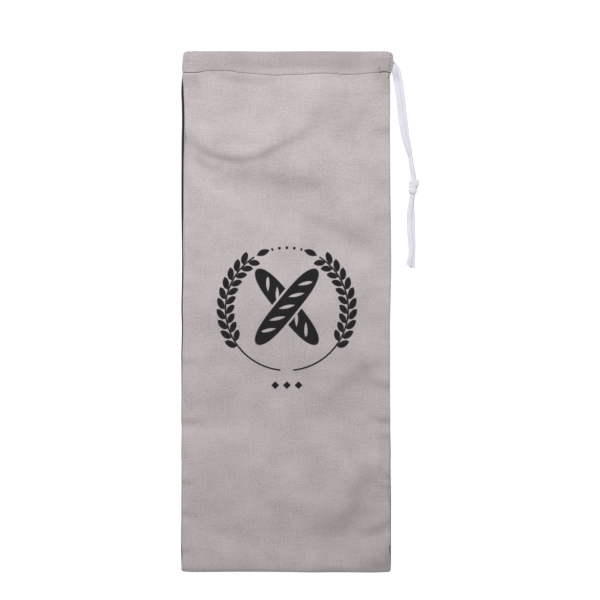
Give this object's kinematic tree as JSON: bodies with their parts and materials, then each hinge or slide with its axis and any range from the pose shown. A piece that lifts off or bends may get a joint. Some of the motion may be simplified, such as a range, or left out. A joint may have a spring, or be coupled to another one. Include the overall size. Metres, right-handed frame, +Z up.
{
  "type": "bread bag",
  "caption": "Long cotton bread bag lying empty on its back, with a darker back panel and a flat drawcord that leaves its casing at one side and is knotted.",
  "frame": {"origin": "on the surface the bag lies on, under the middle of the bag without its loose cord", "axes": "+X to the right and +Y towards the mouth as seen from the front panel's side, +Z up out of the front panel"},
  "size_m": [0.3072, 0.6706, 0.0125],
  "materials": {
    "front_cotton": "matt plain-weave cotton, warm grey",
    "back_cotton": "matt plain-weave cotton, nearly black",
    "cord_cotton": "flat braided cotton tape, white"
  },
  "bodies": {
    "root": {"front_panel": "front_cotton", "back_panel": "back_cotton", "drawcord_in_casing": "cord_cotton", "cord_strand_over": "cord_cotton", "cord_strand_under": "cord_cotton", "cord_knot": "cord_cotton", "cord_tail_over": "cord_cotton", "cord_tail_under": "cord_cotton"}
  },
  "joints": []
}
